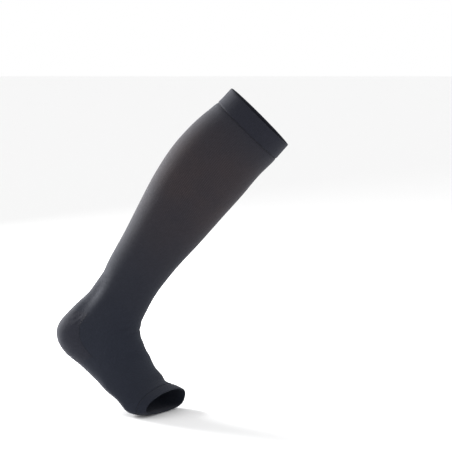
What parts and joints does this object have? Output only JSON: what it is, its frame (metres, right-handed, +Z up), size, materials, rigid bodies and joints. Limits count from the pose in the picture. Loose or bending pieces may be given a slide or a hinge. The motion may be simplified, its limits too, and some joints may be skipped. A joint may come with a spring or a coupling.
{
  "type": "compression stocking",
  "caption": "Knee-high open-toe compression stocking, worn in mid step with the heel raised, with a doubled top band, a knitted heel pocket and a turned hem at the toe.",
  "frame": {"origin": "centre of the top opening, where the band grips the leg below the knee", "axes": "+X the way the wearer walks, +Z up, the outer side of the right leg faces -Y"},
  "size_m": [0.3148, 0.1498, 0.4342],
  "materials": {
    "band_knit": "matte knit nylon and elastane, doubled",
    "leg_knit": "matte knit nylon and elastane, opened over the calf",
    "heel_knit": "matte knit nylon and elastane, thicker",
    "foot_knit": "matte knit nylon and elastane, close",
    "hem_knit": "matte knit nylon and elastane, turned and stitched"
  },
  "bodies": {
    "root": {"top_band": "band_knit", "below_knee": "leg_knit", "calf": "leg_knit", "shin": "leg_knit", "ankle": "leg_knit", "heel": "heel_knit", "foot": "foot_knit", "toe_edge": "hem_knit"}
  },
  "joints": []
}
